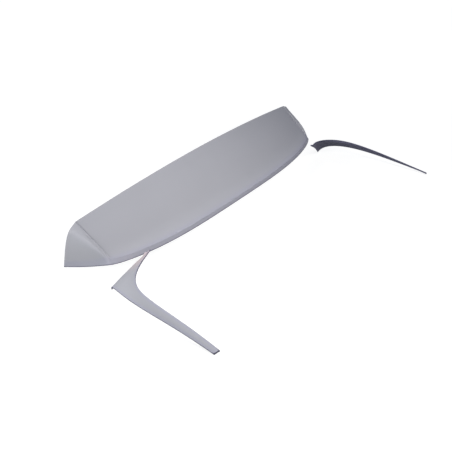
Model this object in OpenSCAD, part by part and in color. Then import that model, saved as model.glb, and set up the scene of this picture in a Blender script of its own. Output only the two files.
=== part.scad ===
// Roof spoiler set: a long blade with deep side cheeks and two curved side fins,
// laid out on a flat floor. X runs across the car, -Y to the rear, Z up.
// Origin: centre of the footprint, at floor level.

/* [Blade] */

// half width of the blade along its front corners
front_half = 560; // [400:1:800]

// half width of the blade along its rear corners
rear_half = 548; // [390:1:800]

// height of the front corners above the floor
front_z = 169; // [80:1:260]

// how much higher the middle of the front edge is
front_crown = 35; // [0:1:80]

// how far the middle of the front edge sits behind its corners
front_bow = 19; // [0:1:60]

// height of the trailing edge at its corners
rear_z = 79; // [30:1:200]

// how much the trailing edge drops at its middle
rear_sag = 5; // [0:0.5:30]

// distance from the front corners back to the trailing corners
chord = 120; // [80:1:300]

// how far the middle of the trailing edge bows out rearwards
rear_bow = 59; // [0:1:120]

// how late the trailing edge turns in towards its corners
rear_turn = 3.7; // [2:0.1:6]

// height of the thin rear face of the trailing edge
lip_h = 15; // [6:0.5:40]

// how far the rear face leans out towards its lower edge
lip_lean = 1.4; // [0:0.1:6]

// how much wider the rear face is at its lower corners, each side
rear_flare = 13.8; // [0:0.2:40]

// how far the trailing edge is rounded forwards at its corners
corner_round = 5; // [0:0.5:20]

// how far the trailing edge is rounded up at its corners
corner_lift = 2; // [0:0.5:10]

// wall thickness of every moulded shell
wall = 3.5; // [2.5:0.1:6]

// hollow of the top skin just before the trailing edge
upsweep = 8; // [0:0.5:20]

// fullness of the top skin behind the front edge
fullness = 3; // [0:0.5:15]

/* [Cheeks] */

// half width at the front foot of the cheeks
foot_half = 563; // [400:1:800]

// how far the front foot reaches ahead of the front corners
foot_y = 61; // [0:1:120]

// how far the cheek's lower edge bows down
foot_bow = 2.5; // [0:0.5:10]

// how the cheek sets off from the crease into its shoulder
cheek_lead = [26.6, -17.4, 28.9]; // [-100:0.1:100]

// how the cheek swells out at half its height
cheek_swell = [48.8, -43.2, 84.3]; // [-100:0.1:100]

// how the cheek comes in to its lower edge
cheek_run = [26.1, -24.6, 60.2]; // [-100:0.1:100]

// height of the fine step between the top skin and the cheek
crease_step = 2; // [0:0.1:4]

/* [Front flange] */

// half width of the flange under the front edge
flange_half = 510; // [300:1:700]

// depth of the flange under the front edge
flange_depth = 60; // [30:1:90]

// distance of the flange face behind the front edge
flange_back = 1; // [0.5:0.5:6]

// drop of the flange's first fold below the front edge
flange_fold = 8; // [4:0.5:16]

/* [Fixings] */

// spacing of the four threaded studs
stud_pitch = 260; // [120:1:320]

// height of the studs above the floor
stud_z = 154; // [100:1:200]

// stud thread radius
stud_r = 3; // [2:0.5:5]

// stud length ahead of its round base
stud_len = 26; // [12:1:50]

// radius of the round base bonded to the flange
base_r = 10; // [6:0.5:20]

// thickness of the round base
base_t = 2; // [1:0.5:4]

// gap left by the bond line behind each round base
bond_gap = 0.05; // [0.02:0.01:0.5]

// thickness of the foam strip along the front flange
seal_t = 1.2; // [0.6:0.1:3]

// width of the foam strip
seal_w = 8; // [4:1:16]

// drop of the foam strip below the front edge
seal_drop = 10; // [9:0.5:20]

// how far the foam strip's ends stop short of the flange's ends
seal_inset = 40; // [30:1:80]

// gap between the foam strip and the flange
seal_gap = 0.05; // [0.02:0.01:0.5]

/* [Side fins] */

// sideways position of the fin's raised point
fin_point_x = 473.6; // [300:0.1:700]

// distance of the raised point behind the front line
fin_point_y = 183.5; // [120:0.1:300]

// height of the raised point
fin_point_z = 84.5; // [40:0.1:160]

// how the inner edge sets off from the raised point
inner_lead = [-47.9, -32.1, 64.0]; // [-300:0.1:300]

// where the inner edge swings to after that, from the raised point
inner_swing = [201.2, -30.3, -50.8]; // [-400:0.1:400]

// how the inner edge comes in to the cut end
inner_run = [-40.7, 355.1, 90.5]; // [-400:0.1:400]

// height of the cut end's inner corner
fin_end_z = 9.3; // [6:0.1:40]

// sideways position of the fin's outer corner
fin_corner_x = 587.7; // [400:0.1:800]

// distance of the outer corner behind the front line
fin_corner_y = 145.6; // [100:0.1:300]

// height of the outer corner's upper side
fin_corner_z = 12; // [4:0.1:40]

// how the outer edge sets off from the outer corner
outer_lead = [25.3, -16.9, 50.5]; // [-300:0.1:300]

// where the outer edge swings to after that, from the outer corner
outer_swing = [71.1, -134.1, 18.7]; // [-400:0.1:400]

// how the outer edge comes in to the cut end
outer_run = [-22.3, 245.7, 44.1]; // [-400:0.1:400]

// sideways position of the fin's cut end
fin_end_x = 646.7; // [400:0.1:800]

// distance of the cut end behind the front line
fin_end_y = 558; // [300:0.1:800]

// width of the cut end across
fin_end_w = 15.3; // [6:0.1:40]

// slant of the cut end, from its inner to its outer corner
fin_end_slant = 7.8; // [0:0.1:30]

// how the blunt raised point steps ahead of the inner edge
tip_step = [0, 9, 1]; // [-20:0.5:20]

// thickness of the fin
fin_t = 4; // [2.5:0.5:8]

// crown of the fin's broad face
fin_crown = 3; // [0:0.5:12]

/* [Hidden] */

grey = [0.70, 0.70, 0.72];
steel = [0.62, 0.62, 0.64];
foam = [0.16, 0.16, 0.17];

// steps of the blade's mesh: across, front to rear, down a cheek or the rear face, down the flange
NS = 44;
NU = 20;
NW = 7;
NF = 3;
NC = NS + 2 * NW;

// place across the blade of each column, closer together near the corners
crowding = 0.35;
function s_of(c) = let (q = 2 * (c - NW) / NS - 1) q * (1 + crowding - crowding * q * q);

// share of the way down a cheek or the rear face of each row, with a fine first step
function t_of(k, u) = k == 0 ? 0 : lerp(lerp(0.03, 0.06, u), 1, (k - 1) / (NW - 1));

// the set is centred on its footprint, from the cheeks' feet to the fins' cut ends
y_shift = (fin_end_y + 0.08 * fin_t - foot_y) / 2;

// flange columns
fl_skip = len([for (c = [NW : NW + NS]) if (s_of(c) < -flange_half / front_half) c]);
ca = NW + fl_skip;
cb = NW + NS - fl_skip;
nfl = cb - ca + 1;

function lerp(a, b, t) = a + (b - a) * t;

// front edge, trailing edge top and trailing edge bottom at s = -1..1
function front_at(s) = [front_half * s, -front_bow * (1 - s * s), front_z + front_crown * (1 - s * s)];
function rear_at(s) = [
    rear_half * s,
    -chord - rear_bow * (1 - pow(abs(s), rear_turn)) + corner_round * pow(abs(s), 30),
    rear_z - rear_sag * (1 - s * s) + corner_lift * pow(abs(s), 30)
];
function under_at(s) = [(rear_half + rear_flare) * s, rear_at(s)[1] - lip_lean, rear_at(s)[2] - lip_h];

// top skin: straight chord with a full front half and a hollow before the trailing edge
function rise(u) = fullness * sin(180 * pow(u, 0.8)) - upsweep * pow(max(sin(180 * pow(u, 3)), 0), 2);
function top_at(s, u) = lerp(front_at(s), rear_at(s), u)
    + [0, -0.6, 0.8] * rise(u) * (1 - pow(abs(s), 6));

function quartic(a, b, c, d, e, t) = a * pow(1 - t, 4) + b * 4 * t * pow(1 - t, 3)
    + c * 6 * pow(t * (1 - t), 2) + d * 4 * pow(t, 3) * (1 - t) + e * pow(t, 4);

// cheek: t = 0 at the crease, 1 at its lower edge; u = 0 at the front
function cheek_foot(u) = lerp([foot_half, foot_y, 0], under_at(1), u) - [0, 0, foot_bow * sin(180 * u)];
function cheek_right(t, u) =
    let (a = top_at(1, u), e = cheek_foot(u))
    quartic(
        a,
        lerp(a, e, 1 / 4) + (1 - pow(u, 4)) * cheek_lead,
        lerp(a, e, 1 / 2) + (1 - pow(u, 0.84)) * cheek_swell,
        lerp(a, e, 3 / 4) + (1 - pow(u, 1.2)) * cheek_run,
        e, t
    ) + (t > 0 ? [0, -0.6, 0.8] * crease_step * (1 - pow(u, 3)) * pow(1 - t, 4) : [0, 0, 0]);
function cheek_at(side, k, u) = let (p = cheek_right(t_of(k, u), u)) [side * p[0], p[1], p[2]];

// inward steps of one wall, by place
function unit(v) = v / norm(v);
function cheek_in(side, k, u) =
    let (t = t_of(k, u), a = min(1, t / (0.45 * (1 - pow(u, 2.4)) + 0.02)), b = 0.1 * a * (1 - t))
    unit([-side * (a + 0.001), 0.606 * (1 - a) + b, -0.795 * (1 - a) - b]);
function main_in(c, u) =
    c < NW ? cheek_in(-1, NW - c, u)
    : c > NW + NS ? cheek_in(1, c - NW - NS, u)
    : [(c == NW ? 1 : c == NW + NS ? -1 : 0) * pow(u, 8), 0.606, -0.795];
function rear_in(c) =
    c < NW ? [1, 1, 0]
    : c == NW ? [1, 1, -0.5]
    : c == NW + NS ? [-1, 1, -0.5]
    : c > NW + NS ? [-1, 1, 0]
    : [0, 1, -0.5];
function nose_in(c) = (c >= ca && c <= cb) ? [0, -1, -2] : main_in(c, 0);

function main_at(c, r) =
    let (u = r / NU)
    c < NW ? cheek_at(-1, NW - c, u)
    : c > NW + NS ? cheek_at(1, c - NW - NS, u)
    : top_at(s_of(c), u);

function lip_pt(c, k) = lerp(rear_at(s_of(c)), under_at(s_of(c)), t_of(k, 1));
function flange_pt(c, k) =
    let (f = front_at(s_of(c)))
    [f[0], f[1] - flange_back, f[2] - lerp(flange_fold, flange_depth, (k - 1) / (NF - 1))];

outer_pts = concat(
    [for (r = [0 : NU]) for (c = [0 : NC]) main_at(c, r)],
    [for (k = [1 : NW]) for (c = [NW + 1 : NW + NS - 1]) lip_pt(c, k)],
    [for (k = [1 : NF]) for (c = [ca : cb]) flange_pt(c, k)]
);
inner_pts = concat(
    [for (r = [0 : NU]) for (c = [0 : NC])
        main_at(c, r) + wall * (r == NU ? rear_in(c) : r == 0 ? nose_in(c) : main_in(c, r / NU))],
    [for (k = [1 : NW]) for (c = [NW + 1 : NW + NS - 1]) lip_pt(c, k) + wall * [0, 1, 0]],
    [for (k = [1 : NF]) for (c = [ca : cb]) flange_pt(c, k) + wall * [0, -1, (k == 1 ? -1 : 0)]]
);
nv = len(outer_pts);
lip_base = (NU + 1) * (NC + 1);
flange_base = lip_base + NW * (NS - 1);

function mi(c, r) = r * (NC + 1) + c;
function li(c, k) =
    k == 0 ? mi(c, NU)
    : c == NW ? mi(NW - k, NU)
    : c == NW + NS ? mi(NW + NS + k, NU)
    : lip_base + (k - 1) * (NS - 1) + (c - NW - 1);
function fi(c, k) = k == 0 ? mi(c, 0) : flange_base + (k - 1) * nfl + (c - ca);

quads = concat(
    [for (r = [0 : NU - 1]) for (c = [0 : NC - 1])
        [mi(c, r), mi(c + 1, r), mi(c + 1, r + 1), mi(c, r + 1)]],
    [for (k = [0 : NW - 1]) for (c = [NW : NW + NS - 1])
        [li(c, k), li(c + 1, k), li(c + 1, k + 1), li(c, k + 1)]],
    [for (k = [0 : NF - 1]) for (c = [ca : cb - 1])
        [fi(c, k + 1), fi(c + 1, k + 1), fi(c + 1, k), fi(c, k)]]
);
// open edges of the sheet, in the direction its faces run
rim = concat(
    [for (c = [0 : ca - 1]) [mi(c, 0), mi(c + 1, 0)]],
    [for (c = [cb : NC - 1]) [mi(c, 0), mi(c + 1, 0)]],
    [for (r = [0 : NU - 1]) [mi(NC, r), mi(NC, r + 1)]],
    [for (r = [0 : NU - 1]) [mi(0, r + 1), mi(0, r)]],
    [for (c = [NW : NW + NS - 1]) [li(c + 1, NW), li(c, NW)]],
    [for (c = [ca : cb - 1]) [fi(c, NF), fi(c + 1, NF)]],
    [for (k = [0 : NF - 1]) [fi(ca, k), fi(ca, k + 1)]],
    [for (k = [0 : NF - 1]) [fi(cb, k + 1), fi(cb, k)]]
);

function shell_faces(quads, rim, n) = concat(
    [for (q = quads) [q[0], q[1], q[2]]],
    [for (q = quads) [q[0], q[2], q[3]]],
    [for (q = quads) [q[2] + n, q[1] + n, q[0] + n]],
    [for (q = quads) [q[3] + n, q[2] + n, q[0] + n]],
    [for (e = rim) [e[1], e[0], e[0] + n]],
    [for (e = rim) [e[1], e[0] + n, e[1] + n]]
);

module blade() {
    color(grey)
    translate([0, y_shift, 0])
    polyhedron(points = concat(outer_pts, inner_pts), faces = shell_faces(quads, rim, nv), convexity = 8);
}

// a strip between two curves: n steps along, m steps across, thickness by a step vector
module strip(pts, down, n, m) {
    np = (n + 1) * (m + 1);
    function si(i, j) = i * (m + 1) + j;
    qs = [for (i = [0 : n - 1]) for (j = [0 : m - 1])
        [si(i, j), si(i, j + 1), si(i + 1, j + 1), si(i + 1, j)]];
    edge = concat(
        [for (j = [0 : m - 1]) [si(0, j), si(0, j + 1)]],
        [for (i = [0 : n - 1]) [si(i, m), si(i + 1, m)]],
        [for (j = [0 : m - 1]) [si(n, j + 1), si(n, j)]],
        [for (i = [0 : n - 1]) [si(i + 1, 0), si(i, 0)]]
    );
    polyhedron(
        points = concat(pts, [for (p = pts) p + down]),
        faces = shell_faces(qs, edge, np),
        convexity = 4
    );
}

// side fin: inner curved edge from the raised point, outer edge from the corner, both to the cut end
point = [fin_point_x, -fin_point_y, fin_point_z];
corner = [fin_corner_x, -fin_corner_y, fin_corner_z];
end_in = [fin_end_x, -fin_end_y, fin_end_z];
end_out = [fin_end_x + fin_end_w, -fin_end_y + fin_end_slant, 0.9 * fin_t];
function inner_edge(v) =
    quartic(point, point + inner_lead, point + inner_swing, end_in + inner_run, end_in, v);
function outer_edge(v) =
    quartic(corner, corner + outer_lead, corner + outer_swing, end_out + outer_run, end_out, v);
fin_down = [-0.42, -0.08, -0.9];
function fin_at(v, h) = lerp(inner_edge(v), outer_edge(v), h)
    + (v == 0 && h == 0 ? tip_step : [0, 0, 0])
    - fin_down * fin_crown * sin(180 * h) * (1 - 0.6 * v);

module fin_skin() {
    n = 44;
    m = 8;
    strip([for (i = [0 : n]) for (j = [0 : m]) fin_at(i / n, j / m)], fin_down * fin_t, n, m);
}

module left_fin() {
    color(grey)
    translate([0, y_shift, 0])
    mirror([1, 0, 0])
    fin_skin();
}

module right_fin() {
    color(grey)
    translate([0, y_shift, 0])
    fin_skin();
}

// threaded studs on round bases, bonded to the front of the flange
module stud() {
    rotate([-90, 0, 0]) {
        cylinder(r = base_r, h = base_t, $fn = 48);
        cylinder(r = stud_r, h = base_t + stud_len, $fn = 32);
    }
}

// each base stands on the flange where the flange bows towards it most
function stud_y(x) = front_at((abs(x) + base_r) / front_half)[1] - flange_back + bond_gap;
module mount_studs() {
    color(steel)
    for (i = [-1.5, -0.5, 0.5, 1.5])
        translate([i * stud_pitch, stud_y(i * stud_pitch) + y_shift, stud_z])
        stud();
}

// foam strip along the top of the flange's front face
module front_seal() {
    n = 40;
    s_end = (flange_half - seal_inset) / front_half;
    color(foam)
    translate([0, y_shift, 0])
    strip(
        [for (i = [0 : n]) for (j = [0 : 1])
            let (f = front_at(s_end * (1 - 2 * i / n)))
            [f[0], f[1] - flange_back + seal_t + seal_gap, f[2] - seal_drop - seal_w * j]],
        [0, -seal_t, 0], n, 1
    );
}

blade();
left_fin();
right_fin();
mount_studs();
front_seal();
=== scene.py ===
"""Roof spoiler set on a white studio floor: a primer-grey blade with deep cheeks and two curved side fins.

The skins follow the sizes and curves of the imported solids, on finer meshes. The studs and the foam strip are
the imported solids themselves, with materials of their own.
"""

import math

import bmesh
import bpy
from mathutils import Matrix, Quaternion, Vector, kdtree


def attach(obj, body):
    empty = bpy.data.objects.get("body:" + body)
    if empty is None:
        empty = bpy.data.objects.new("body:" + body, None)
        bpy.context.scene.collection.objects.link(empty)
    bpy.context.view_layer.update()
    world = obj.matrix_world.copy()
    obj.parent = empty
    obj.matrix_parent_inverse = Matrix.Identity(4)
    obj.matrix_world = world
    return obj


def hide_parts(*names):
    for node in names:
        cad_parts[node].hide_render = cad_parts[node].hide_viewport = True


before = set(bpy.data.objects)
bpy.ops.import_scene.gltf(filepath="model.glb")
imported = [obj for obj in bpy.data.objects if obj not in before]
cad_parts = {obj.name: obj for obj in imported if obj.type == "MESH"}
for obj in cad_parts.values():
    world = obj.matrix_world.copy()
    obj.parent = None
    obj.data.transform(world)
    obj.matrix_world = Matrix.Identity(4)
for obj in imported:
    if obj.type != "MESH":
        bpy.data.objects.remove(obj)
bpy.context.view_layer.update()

MM = 0.001

# blade, in millimetres, named after the sizes in the part's source
FRONT_HALF = 560.0
REAR_HALF = 548.0
FRONT_Z = 169.0
FRONT_CROWN = 35.0
FRONT_BOW = 19.0
REAR_Z = 79.0
REAR_SAG = 5.0
CHORD = 120.0
REAR_BOW = 59.0
REAR_TURN = 3.7
LIP_H = 15.0
LIP_LEAN = 1.4
REAR_FLARE = 13.8
CORNER_ROUND = 5.0
CORNER_LIFT = 2.0
WALL = 3.5
UPSWEEP = 8.0
FULLNESS = 3.0

# cheeks
FOOT = Vector((563.0, 61.0, 0.0))
FOOT_BOW = 2.5
CHEEK_LEAD = Vector((26.6, -17.4, 28.9))
CHEEK_SWELL = Vector((48.8, -43.2, 84.3))
CHEEK_RUN = Vector((26.1, -24.6, 60.2))
CREASE_STEP = 2.0

# front flange
FLANGE_HALF = 510.0
FLANGE_DEPTH = 60.0
FLANGE_BACK = 1.0
FLANGE_FOLD = 8.0

# side fins
FIN_POINT = Vector((473.6, -183.5, 84.5))
INNER_LEAD = Vector((-47.9, -32.1, 64.0))
INNER_SWING = Vector((201.2, -30.3, -50.8))
INNER_RUN = Vector((-40.7, 355.1, 90.5))
FIN_CORNER = Vector((587.7, -145.6, 12.0))
OUTER_LEAD = Vector((25.3, -16.9, 50.5))
OUTER_SWING = Vector((71.1, -134.1, 18.7))
OUTER_RUN = Vector((-22.3, 245.7, 44.1))
FIN_END = Vector((646.7, -558.0, 9.3))
FIN_END_W = 15.3
FIN_END_SLANT = 7.8
TIP_STEP = Vector((0.0, 9.0, 1.0))
FIN_T = 4.0
FIN_CROWN = 3.0
FIN_DOWN = Vector((-0.42, -0.08, -0.9))
FIN_END_OUT = Vector((FIN_END.x + FIN_END_W, FIN_END.y + FIN_END_SLANT, -FIN_DOWN.z * FIN_T))

# the set is centred on its footprint, from the cheeks' feet to the fins' cut ends
Y_SHIFT = (-FIN_END.y - FIN_DOWN.y * FIN_T - FOOT.y) / 2

# powers that place the blade's forms: the higher, the later towards the rear or the side
CORNER_POWER = 30
SPAN_POWER = 6
FULL_POWER = 0.8
DIP_POWER = 3
LEAD_POWER = 4
SWELL_POWER = 0.84
RUN_POWER = 1.2
STEP_POWER = 3

# how fast the crease's fine step falls off down a cheek
STEP_FALL = 4

# direction of the top skin's swelling, and of its wall inwards in Y and Z
SKIN_OUT = Vector((0, -0.6, 0.8))
IN_Y = 0.606
IN_Z = -0.795

# how the wall's direction turns sideways from the top skin into a cheek
CREASE_TURN = 8
TURN_SHARE = 0.45
TURN_POWER = 2.4
TURN_LEAST = 0.02
TURN_EASE = 0.1
SIDE_LEAST = 0.001

# steps of the blade's mesh: across, front to rear, down a cheek or the rear face, down the flange
NS = 150
NU = 72
NW = 24
NF = 5
NC = NS + 2 * NW

# columns of the two creases
LEFT = NW
RIGHT = NW + NS

# how much closer the columns stand near the corners
CROWDING = 0.35

# finer steps at the crease and at the foot, and the shares of the way down that they take
CREASE_STEPS = 6
FIRST_FRONT = 0.03
FIRST_REAR = 0.06
FOOT_STEPS = 4
FOOT_SHARE = 0.94

# steps over which the painted shade in the crease fades, down the cheek and on the top skin
SEAM_DOWN = 3
SEAM_UP = 2

# steps of a fin's mesh, along and across, and those at its outer corner that get no painted edge shade and
# keep their plain colour
FIN_STEPS = 110
FIN_ROWS = 20
PLAIN_STEPS = 4

# the raised point's step fades out over one step of the solid's mesh, which has so many along and across
SOLID_STEPS = 44
SOLID_ROWS = 8

# how much flatter a fin is at its cut end
CROWN_FADE = 0.6

# edges sharper than this stay sharp and are rounded by so many millimetres
SHARP = math.radians(28)
BLADE_BEVEL = 0.8
FIN_BEVEL = 0.7
BEVEL_SEGMENTS = 3


# s runs from -1 to 1 across the blade, u from 0 to 1 from front to rear, and t from 0 to 1 down a cheek or
# the rear face; c, r and k count the mesh's columns and rows


def lerp(a, b, t):
    return a + (b - a) * t


def quartic(a, b, c, d, e, t):
    """Curve from a to e that is drawn towards b, c and d on the way."""
    q = 1 - t
    return a * q**4 + b * (4 * t * q**3) + c * (6 * t * t * q * q) + d * (4 * t**3 * q) + e * t**4


def front_at(s):
    k = 1 - s * s
    return Vector((FRONT_HALF * s, -FRONT_BOW * k, FRONT_Z + FRONT_CROWN * k))


def rear_at(s):
    a = abs(s)
    y = -CHORD - REAR_BOW * (1 - a**REAR_TURN) + CORNER_ROUND * a**CORNER_POWER
    z = REAR_Z - REAR_SAG * (1 - s * s) + CORNER_LIFT * a**CORNER_POWER
    return Vector((REAR_HALF * s, y, z))


def under_at(s):
    r = rear_at(s)
    return Vector(((REAR_HALF + REAR_FLARE) * s, r.y - LIP_LEAN, r.z - LIP_H))


def rise(u):
    """Height of the top skin over its straight chord: full in its front half, with a dip before the rear."""
    dip = max(math.sin(math.pi * u**DIP_POWER), 0.0) ** 2
    return FULLNESS * math.sin(math.pi * u**FULL_POWER) - UPSWEEP * dip


def top_at(s, u):
    return front_at(s).lerp(rear_at(s), u) + SKIN_OUT * rise(u) * (1 - abs(s) ** SPAN_POWER)


def cheek_at(side, t, u):
    crease = top_at(1.0, u)
    foot = FOOT.lerp(under_at(1.0), u) - Vector((0, 0, FOOT_BOW * math.sin(math.pi * u)))
    lead = crease.lerp(foot, 1 / 4) + CHEEK_LEAD * (1 - u**LEAD_POWER)
    swell = crease.lerp(foot, 1 / 2) + CHEEK_SWELL * (1 - u**SWELL_POWER)
    run = crease.lerp(foot, 3 / 4) + CHEEK_RUN * (1 - u**RUN_POWER)
    p = quartic(crease, lead, swell, run, foot, t)
    # the fine step rises smoothly beside the crease and falls off down the cheek
    k = min(1.0, t / FIRST_FRONT)
    p += SKIN_OUT * CREASE_STEP * (1 - u**STEP_POWER) * (1 - t) ** STEP_FALL * k * k * (3 - 2 * k)
    p.x *= side
    return p


def s_of(c):
    q = 2 * (c - LEFT) / NS - 1
    return q * (1 + CROWDING - CROWDING * q * q)


def t_of(k, u):
    first = lerp(FIRST_FRONT, FIRST_REAR, u)
    if k <= CREASE_STEPS:
        return first * k / CREASE_STEPS
    if k <= NW - FOOT_STEPS:
        return lerp(first, FOOT_SHARE, (k - CREASE_STEPS) / (NW - CREASE_STEPS - FOOT_STEPS))
    return lerp(FOOT_SHARE, 1.0, (k - NW + FOOT_STEPS) / FOOT_STEPS)


# columns of the flange's two ends
FLANGE_SKIP = sum(1 for c in range(LEFT, RIGHT) if s_of(c) < -FLANGE_HALF / FRONT_HALF)
FLANGE_LEFT = LEFT + FLANGE_SKIP
FLANGE_RIGHT = RIGHT - FLANGE_SKIP

# places of the first points of the rear face and of the flange in the list of points
LIP_BASE = (NU + 1) * (NC + 1)
FLANGE_BASE = LIP_BASE + NW * (NS - 1)


def main_at(c, r):
    u = r / NU
    if c < LEFT:
        return cheek_at(-1, t_of(LEFT - c, u), u)
    if c > RIGHT:
        return cheek_at(1, t_of(c - RIGHT, u), u)
    return top_at(s_of(c), u)


def lip_at(c, k):
    return rear_at(s_of(c)).lerp(under_at(s_of(c)), t_of(k, 1.0))


def flange_at(c, k):
    f = front_at(s_of(c))
    drop = lerp(FLANGE_FOLD, FLANGE_DEPTH, (k - 1) / (NF - 1))
    return Vector((f.x, f.y - FLANGE_BACK, f.z - drop))


def cheek_in(side, k, u):
    t = t_of(k, u)
    a = min(1.0, t / (TURN_SHARE * (1 - u**TURN_POWER) + TURN_LEAST))
    b = TURN_EASE * a * (1 - t)
    return Vector((-side * (a + SIDE_LEAST), IN_Y * (1 - a) + b, IN_Z * (1 - a) - b)).normalized()


def main_in(c, u):
    if c < LEFT:
        return cheek_in(-1, LEFT - c, u)
    if c > RIGHT:
        return cheek_in(1, c - RIGHT, u)
    return Vector((((c == LEFT) - (c == RIGHT)) * u**CREASE_TURN, IN_Y, IN_Z))


def rear_in(c):
    if c < LEFT:
        return Vector((1, 1, 0))
    if c == LEFT:
        return Vector((1, 1, -0.5))
    if c == RIGHT:
        return Vector((-1, 1, -0.5))
    if c > RIGHT:
        return Vector((-1, 1, 0))
    return Vector((0, 1, -0.5))


def nose_in(c):
    return Vector((0, -1, -2)) if FLANGE_LEFT <= c <= FLANGE_RIGHT else main_in(c, 0.0)


def wall_in(c, r):
    """Step from the outer sheet to the inner one, in walls."""
    if r == NU:
        return rear_in(c)
    return nose_in(c) if r == 0 else main_in(c, r / NU)


def seam_at(c, r):
    """Nearness to the crease, from 1 on it to 0, and less towards the rear; it masks the painted shade in the
    crease.
    """
    down = max(LEFT - c, c - RIGHT)
    return max(0.0, 1 - abs(down) / (SEAM_DOWN if down > 0 else SEAM_UP)) * (1 - (r / NU) ** STEP_POWER)


def main_index(c, r):
    return r * (NC + 1) + c


def lip_index(c, k):
    if k == 0:
        return main_index(c, NU)
    if c == LEFT:
        return main_index(LEFT - k, NU)
    if c == RIGHT:
        return main_index(RIGHT + k, NU)
    return LIP_BASE + (k - 1) * (NS - 1) + (c - LEFT - 1)


def flange_index(c, k):
    if k == 0:
        return main_index(c, 0)
    return FLANGE_BASE + (k - 1) * (FLANGE_RIGHT - FLANGE_LEFT + 1) + (c - FLANGE_LEFT)


def grid(index, rows, columns):
    """Faces between neighbouring rows and columns; index(column, row) is a point's place in the list."""
    return [
        (index(c, r), index(c + 1, r), index(c + 1, r + 1), index(c, r + 1)) for r in rows for c in columns
    ]


def shell(name, outer, inner, quads, rim, trimmed, seam=None):
    """A closed thin-walled mesh from an outer sheet, its inner twin and the sheet's open edges.

    Each point keeps its distance in mm from the trimmed edges, how near it lies to the crease, and its side,
    which the materials use as masks for painted shade.
    """
    n = len(outer)
    verts = [tuple(v * MM) for v in outer + inner]
    faces = [tuple(reversed(q)) for q in quads]
    faces += [tuple(i + n for i in q) for q in quads]
    faces += [(a, b, b + n, a + n) for a, b in rim]
    me = bpy.data.meshes.new(name)
    me.from_pydata(verts, [], faces)
    me.validate()
    edge_points = sorted({i for pair in trimmed for i in pair})
    tree = kdtree.KDTree(len(edge_points))
    for i in edge_points:
        tree.insert(outer[i], i)
    tree.balance()
    from_edge = me.attributes.new("from_edge", "FLOAT", "POINT")
    at_seam = me.attributes.new("at_seam", "FLOAT", "POINT")
    inside = me.attributes.new("inside", "FLOAT", "POINT")
    for i, p in enumerate(outer):
        d = tree.find(p)[2]
        from_edge.data[i].value = d
        from_edge.data[i + n].value = d
        at_seam.data[i].value = seam[i] if seam else 0.0
        inside.data[i + n].value = 1.0
    o = bpy.data.objects.new(name, me)
    bpy.context.scene.collection.objects.link(o)
    return o


def blade_mesh(name):
    outer, inner, seam = [], [], []
    for r in range(NU + 1):
        for c in range(NC + 1):
            p = main_at(c, r)
            outer.append(p)
            inner.append(p + wall_in(c, r) * WALL)
            seam.append(seam_at(c, r))
    for k in range(1, NW + 1):
        for c in range(LEFT + 1, RIGHT):
            p = lip_at(c, k)
            outer.append(p)
            inner.append(p + Vector((0, WALL, 0)))
    for k in range(1, NF + 1):
        for c in range(FLANGE_LEFT, FLANGE_RIGHT + 1):
            p = flange_at(c, k)
            outer.append(p)
            inner.append(p + Vector((0, -WALL, -WALL if k == 1 else 0)))
    seam += [0.0] * (len(outer) - len(seam))

    flange = range(FLANGE_LEFT, FLANGE_RIGHT)
    quads = grid(main_index, range(NU), range(NC))
    quads += grid(lip_index, range(NW), range(LEFT, RIGHT))
    quads += [tuple(reversed(q)) for q in grid(flange_index, range(NF), flange)]

    trimmed = [(main_index(NC, r), main_index(NC, r + 1)) for r in range(NU)]
    trimmed += [(main_index(0, r + 1), main_index(0, r)) for r in range(NU)]
    trimmed += [(lip_index(c + 1, NW), lip_index(c, NW)) for c in range(LEFT, RIGHT)]
    beside = [*range(FLANGE_LEFT), *range(FLANGE_RIGHT, NC)]
    rim = trimmed + [(main_index(c, 0), main_index(c + 1, 0)) for c in beside]
    rim += [(flange_index(c, NF), flange_index(c + 1, NF)) for c in flange]
    rim += [(flange_index(FLANGE_LEFT, k), flange_index(FLANGE_LEFT, k + 1)) for k in range(NF)]
    rim += [(flange_index(FLANGE_RIGHT, k + 1), flange_index(FLANGE_RIGHT, k)) for k in range(NF)]
    return shell(name, outer, inner, quads, rim, trimmed, seam)


# v runs from 0 at a fin's raised point and outer corner to 1 at its cut end, and h from 0 to 1 across it


def inner_edge(v):
    lead = FIN_POINT + INNER_LEAD
    swing = FIN_POINT + INNER_SWING
    return quartic(FIN_POINT, lead, swing, FIN_END + INNER_RUN, FIN_END, v)


def outer_edge(v):
    lead = FIN_CORNER + OUTER_LEAD
    swing = FIN_CORNER + OUTER_SWING
    return quartic(FIN_CORNER, lead, swing, FIN_END_OUT + OUTER_RUN, FIN_END_OUT, v)


def fin_at(v, h):
    p = inner_edge(v).lerp(outer_edge(v), h)
    p += TIP_STEP * (max(0.0, 1 - v * SOLID_STEPS) * max(0.0, 1 - h * SOLID_ROWS))
    return p - FIN_DOWN * (FIN_CROWN * math.sin(math.pi * h) * (1 - CROWN_FADE * v))


def fin_mesh(name, side):
    across = [0.5 - 0.5 * math.cos(math.pi * j / FIN_ROWS) for j in range(FIN_ROWS + 1)]
    outer = [fin_at(i / FIN_STEPS, h) for i in range(FIN_STEPS + 1) for h in across]
    inner = [p + FIN_DOWN * FIN_T for p in outer]

    def index(j, i):
        return i * (FIN_ROWS + 1) + j

    quads = grid(index, range(FIN_STEPS), range(FIN_ROWS))
    trimmed = [(index(FIN_ROWS, i), index(FIN_ROWS, i + 1)) for i in range(PLAIN_STEPS, FIN_STEPS)]
    trimmed += [(index(j + 1, FIN_STEPS), index(j, FIN_STEPS)) for j in range(FIN_ROWS)]
    trimmed += [(index(0, i + 1), index(0, i)) for i in range(1, FIN_STEPS)]
    # known fault: the outer edge has no rim from its step 1 to PLAIN_STEPS, which leaves a small gap there
    rim = trimmed + [(index(j, 0), index(j + 1, 0)) for j in range(FIN_ROWS)]
    rim += [(index(FIN_ROWS, 0), index(FIN_ROWS, 1)), (index(0, 1), index(0, 0))]
    if side < 0:
        for p in outer + inner:
            p.x = -p.x
    return shell(name, outer, inner, quads, rim, trimmed)


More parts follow.
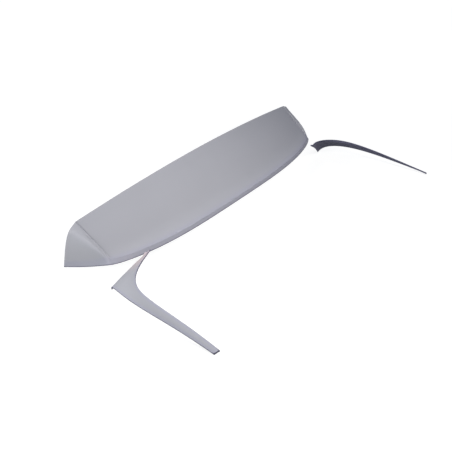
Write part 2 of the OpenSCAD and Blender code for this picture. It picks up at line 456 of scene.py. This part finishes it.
def finish_mesh(o, bevel):
    """Recentre on the row frame, smooth the faces, keep the true edges and round them a little."""
    o.data.transform(Matrix.Translation((0, Y_SHIFT * MM, 0)))
    bm = bmesh.new()
    bm.from_mesh(o.data)
    bmesh.ops.recalc_face_normals(bm, faces=bm.faces)
    for f in bm.faces:
        f.smooth = True
    for e in bm.edges:
        if len(e.link_faces) == 2 and e.calc_face_angle(0) > SHARP:
            e.smooth = False
    bm.to_mesh(o.data)
    bm.free()
    mod = o.modifiers.new("rounded edges", "BEVEL")
    mod.width = bevel * MM
    mod.segments = BEVEL_SEGMENTS
    mod.limit_method = "ANGLE"
    mod.angle_limit = SHARP
    mod.harden_normals = True
    return o


# materials

WHITE = (1, 1, 1)

# a Mix node's sockets for its two colours and its result
MIX_FIRST = 6
MIX_SECOND = 7
MIX_RESULT = 2

# fine grain of every surface: cells to the metre, strength, depth in metres, and spread of the roughness
GRAIN_SCALE = 900.0
GRAIN_STRENGTH = 0.04
GRAIN_DEPTH = 0.0003
ROUGH_SPREAD = 0.04

# primer colours, and the tints that multiply them: the edge, cool, inside and crease tints are painted shade,
# and the warm tint is a painted highlight
PRIMER = (0.412, 0.404, 0.420)
FIN_PRIMER = (0.382, 0.375, 0.390)
EDGE_SHADE_TINT = (0.34, 0.34, 0.4)
COOL_SHADE_TINT = (0.965, 0.965, 1.03)
INSIDE_SHADE_TINT = (0.7, 0.7, 0.88)
SEAM_SHADE_TINT = (0.78, 0.78, 0.8)
WARM_HIGHLIGHT_TINT = (1.42, 1.22, 1.15)

ZINC = (0.50, 0.50, 0.52)
FOAM = (0.022, 0.022, 0.024)

# widths in millimetres of the painted shade along the trimmed edges, which stands in for their contact shadow;
# then, in such widths, where that shade starts to fade, and where the cool painted shade starts and ends
# fading out
BLADE_EDGE = 4.0
FIN_EDGE = 1.2
EDGE_SHADE_START = 0.3
COOL_SHADE_START = 4
COOL_SHADE_END = 8

# the painted warm highlight fades out between these distances from the raised point, in metres
HIGHLIGHT_START = 0.03
HIGHLIGHT_END = 0.1


def colour_mix(tree, factor, first, second, blend="MIX"):
    """Mixes two colours, each three numbers or an output, by factor, an output between 0 and 1."""
    node = tree.nodes.new("ShaderNodeMix")
    node.data_type = "RGBA"
    node.blend_type = blend
    tree.links.new(factor, node.inputs[0])
    for socket, colour in ((MIX_FIRST, first), (MIX_SECOND, second)):
        if isinstance(colour, bpy.types.NodeSocket):
            tree.links.new(colour, node.inputs[socket])
        else:
            node.inputs[socket].default_value = (*colour, 1)
    return node.outputs[MIX_RESULT]


def map_range(tree, source, start, end, first, last, kind="LINEAR"):
    """Goes from first to last while source goes from start to end, and stays level beyond them."""
    node = tree.nodes.new("ShaderNodeMapRange")
    node.interpolation_type = kind
    for socket, value in (("From Min", start), ("From Max", end), ("To Min", first), ("To Max", last)):
        node.inputs[socket].default_value = value
    tree.links.new(source, node.inputs["Value"])
    return node.outputs["Result"]


def math_of(tree, operation, first, second):
    node = tree.nodes.new("ShaderNodeMath")
    node.operation = operation
    tree.links.new(first, node.inputs[0])
    tree.links.new(second, node.inputs[1])
    return node.outputs["Value"]


def noise(tree, scale):
    place = tree.nodes.new("ShaderNodeNewGeometry")
    node = tree.nodes.new("ShaderNodeTexNoise")
    node.inputs["Scale"].default_value = scale
    tree.links.new(place.outputs["Position"], node.inputs["Vector"])
    return node.outputs["Fac"]


def distance_from(tree, centre):
    place = tree.nodes.new("ShaderNodeNewGeometry")
    node = tree.nodes.new("ShaderNodeVectorMath")
    node.operation = "DISTANCE"
    node.inputs[1].default_value = centre
    tree.links.new(place.outputs["Position"], node.inputs[0])
    return node.outputs["Value"]


def satin(name, base, rough, scale, depth, shine=0.3):
    """Painted or moulded surface: base colour with slow mottling and a fine orange-peel grain."""
    m = bpy.data.materials.new(name)
    m.use_nodes = True
    tree = m.node_tree
    shader = tree.nodes["Principled BSDF"]
    dark = [v * (1 - depth) for v in base]
    pale = [v * (1 + depth) for v in base]
    tree.links.new(colour_mix(tree, noise(tree, scale), dark, pale), shader.inputs["Base Color"])
    grain = noise(tree, GRAIN_SCALE)
    bump = tree.nodes.new("ShaderNodeBump")
    bump.inputs["Strength"].default_value = GRAIN_STRENGTH
    bump.inputs["Distance"].default_value = GRAIN_DEPTH
    tree.links.new(grain, bump.inputs["Height"])
    tree.links.new(bump.outputs["Normal"], shader.inputs["Normal"])
    spread = map_range(tree, grain, 0.0, 1.0, rough - ROUGH_SPREAD, rough + ROUGH_SPREAD)
    tree.links.new(spread, shader.inputs["Roughness"])
    shader.inputs["Specular IOR Level"].default_value = shine
    return m


def shade(mat, mask, tint):
    """Multiplies the base colour by tint where mask, an output between 0 and 1, is 1."""
    tree = mat.node_tree
    socket = tree.nodes["Principled BSDF"].inputs["Base Color"]
    tree.links.new(colour_mix(tree, mask, socket.links[0].from_socket, tint, "MULTIPLY"), socket)


def fade(mat, source, start, end):
    """1 up to start, then falling smoothly to 0 at end."""
    return map_range(mat.node_tree, source, start, end, 1.0, 0.0, "SMOOTHSTEP")


def stored(mat, name):
    """The value that shell() stored on the mesh under this name."""
    node = mat.node_tree.nodes.new("ShaderNodeAttribute")
    node.attribute_name = name
    return node.outputs["Fac"]


def primed_with_painted_shade(name, base, edge):
    """Matt primer with painted shade: darker along the trimmed edges, in the crease and on the inner sheet,
    and a cooler, slightly darker painted shade near the edges.
    """
    m = satin(name, base, rough=0.7, scale=6.0, depth=0.03, shine=0.03)
    near = stored(m, "from_edge")
    # painted shade: darker and bluer along the trimmed edges, standing in for their contact shadow
    shade(m, fade(m, near, EDGE_SHADE_START * edge, edge), EDGE_SHADE_TINT)
    # painted shade: slightly darker and bluer within a few edge widths of the trimmed edges, like shaded parts
    # lit by the blue sky
    shade(m, fade(m, near, COOL_SHADE_START * edge, COOL_SHADE_END * edge), COOL_SHADE_TINT)
    # painted shade in the crease, at the foot of its fine step
    shade(m, stored(m, "at_seam"), SEAM_SHADE_TINT)
    # painted shade: darker and bluer on the inner sheet, for undersides that the lamps miss
    shade(m, stored(m, "inside"), INSIDE_SHADE_TINT)
    return m


def highlighted_tip_primer(name, base, edge):
    """The fin's primer, with a painted warm highlight that makes it warmer and paler towards the left fin's
    raised point.
    """
    m = primed_with_painted_shade(name, base, edge)
    tip = (-FIN_POINT.x * MM, (FIN_POINT.y + Y_SHIFT) * MM, FIN_POINT.z * MM)
    # painted highlight: warmer and paler near the left fin's raised point
    shade(m, fade(m, distance_from(m.node_tree, tip), HIGHLIGHT_START, HIGHLIGHT_END), WARM_HIGHLIGHT_TINT)
    return m


def zinc_plated(name):
    m = satin(name, ZINC, rough=0.35, scale=60.0, depth=0.05)
    m.node_tree.nodes["Principled BSDF"].inputs["Metallic"].default_value = 1.0
    return m


primer = primed_with_painted_shade("grey primer", PRIMER, BLADE_EDGE)
fin_primer = primed_with_painted_shade("fin primer", FIN_PRIMER, FIN_EDGE)
tip_primer = highlighted_tip_primer("fin primer, painted tip highlight", FIN_PRIMER, FIN_EDGE)
zinc = zinc_plated("zinc-plated steel")
foam = satin("dark foam", FOAM, rough=0.9, scale=120.0, depth=0.25)

# pieces

blade = finish_mesh(blade_mesh("blade_skin"), BLADE_BEVEL)
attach(blade, "root")
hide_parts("blade")
blade.data.materials.append(primer)

left_fin = finish_mesh(fin_mesh("left_fin_skin", -1), FIN_BEVEL)
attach(left_fin, "root")
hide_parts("left_fin")
left_fin.data.materials.append(tip_primer)

right_fin = finish_mesh(fin_mesh("right_fin_skin", 1), FIN_BEVEL)
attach(right_fin, "root")
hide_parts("right_fin")
right_fin.data.materials.append(fin_primer)

for node, mat in (("mount_studs", zinc), ("front_seal", foam)):
    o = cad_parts[node]
    o.data.materials.clear()
    o.data.materials.append(mat)

# studio

FLOOR_HALF = 30.0
FLOOR_DROP = 0.0005
FLOOR_COLOUR = (0.25, 0.246, 0.235)

# near the object the ground glows a little less: the lamps make up the rest, and a shadow can show
NEAR_GLOW = 0.875
NEAR_RADIUS = 0.7
FAR_GLOW = 1.0
FAR_RADIUS = 2.0

# soft light from the world
DIM_BLUE = (0.02, 0.045, 0.11)

# the lamps' common target
AIM = Vector((-0.2, 0.05, 0.1))


def seen(tree):
    """1 for rays that the camera sends, also by a mirror or through glass, and 0 for soft bounced light."""
    path = tree.nodes.new("ShaderNodeLightPath")
    total = path.outputs["Is Camera Ray"]
    for ray in ("Is Glossy Ray", "Is Transmission Ray"):
        total = math_of(tree, "MAXIMUM", total, path.outputs[ray])
    return total


def floor_material():
    """White to the camera, and a plain grey to the lamps, so that the object's shadow shows on it."""
    m = bpy.data.materials.new("white floor")
    m.use_nodes = True
    tree = m.node_tree
    tree.nodes.clear()
    out = tree.nodes.new("ShaderNodeOutputMaterial")
    diffuse = tree.nodes.new("ShaderNodeBsdfDiffuse")
    diffuse.inputs["Color"].default_value = (*FLOOR_COLOUR, 1)
    away = distance_from(tree, (0, 0, 0))
    level = map_range(tree, away, NEAR_RADIUS, FAR_RADIUS, NEAR_GLOW, FAR_GLOW)
    glow = tree.nodes.new("ShaderNodeEmission")
    tree.links.new(math_of(tree, "MULTIPLY", seen(tree), level), glow.inputs["Strength"])
    both = tree.nodes.new("ShaderNodeAddShader")
    tree.links.new(diffuse.outputs[0], both.inputs[0])
    tree.links.new(glow.outputs[0], both.inputs[1])
    tree.links.new(both.outputs[0], out.inputs["Surface"])
    return m


def floor_sheet():
    me = bpy.data.meshes.new("floor")
    signs = ((-1, -1), (1, -1), (1, 1), (-1, 1))
    me.from_pydata([(x * FLOOR_HALF, y * FLOOR_HALF, 0) for x, y in signs], [], [(0, 1, 2, 3)])
    me.materials.append(floor_material())
    o = bpy.data.objects.new("floor", me)
    o.location.z = -FLOOR_DROP
    bpy.context.scene.collection.objects.link(o)
    return o


def studio_world():
    """White to the camera, and a dim blue to the surfaces that it lights."""
    w = bpy.data.worlds.new("studio")
    w.use_nodes = True
    tree = w.node_tree
    tree.links.new(colour_mix(tree, seen(tree), DIM_BLUE, WHITE), tree.nodes["Background"].inputs["Color"])
    return w


def area(name, place, size, watts, colour=WHITE):
    """A round lamp that points at AIM."""
    lamp = bpy.data.lights.new(name, "AREA")
    lamp.shape = "DISK"
    lamp.size = size
    lamp.energy = watts
    lamp.color = colour
    o = bpy.data.objects.new(name, lamp)
    o.location = place
    o.rotation_euler = (AIM - Vector(place)).to_track_quat("-Z", "Y").to_euler()
    bpy.context.scene.collection.objects.link(o)


floor = floor_sheet()
bpy.context.scene.world = studio_world()
area("key", (-0.2, -0.9, 1.0), size=0.4, watts=13.8)
area("key_side", (-0.9, -0.7, 1.1), size=0.2, watts=4.4)
area("back", (-0.5, 1.2, 1.2), size=0.8, watts=11.0)
area("side", (-1.5, 0.5, 0.3), size=0.5, watts=9.2, colour=(0.97, 1.0, 1.03))
area("far_side", (2.2, 0.3, 1.0), size=0.8, watts=4.0)

# camera: its place in metres, its turns in radians, and its focal length in the picture's pixels

CAM_PLACE = (-2.130, -1.595 + Y_SHIFT * MM, 1.342)
CAM_YAW = 0.96846
CAM_PITCH = 0.49296
CAM_ROLL = 0.0037
CAM_FOCAL = 882.7
PICTURE_WIDTH = 452
SENSOR_WIDTH = 36.0
CLIP_END = 100


def photo_camera():
    data = bpy.data.cameras.new("camera")
    data.sensor_fit = "HORIZONTAL"
    data.sensor_width = SENSOR_WIDTH
    data.lens = CAM_FOCAL / PICTURE_WIDTH * SENSOR_WIDTH
    data.clip_end = CLIP_END
    o = bpy.data.objects.new("camera", data)
    o.location = CAM_PLACE
    level = math.cos(CAM_PITCH)
    look = Vector((math.sin(CAM_YAW) * level, math.cos(CAM_YAW) * level, -math.sin(CAM_PITCH)))
    roll = Quaternion((0, 0, 1), CAM_ROLL)
    o.rotation_euler = (look.to_track_quat("-Z", "Y") @ roll).to_euler()
    bpy.context.scene.collection.objects.link(o)
    return o


bpy.context.scene.camera = photo_camera()

bpy.context.scene.view_settings.view_transform = "Standard"
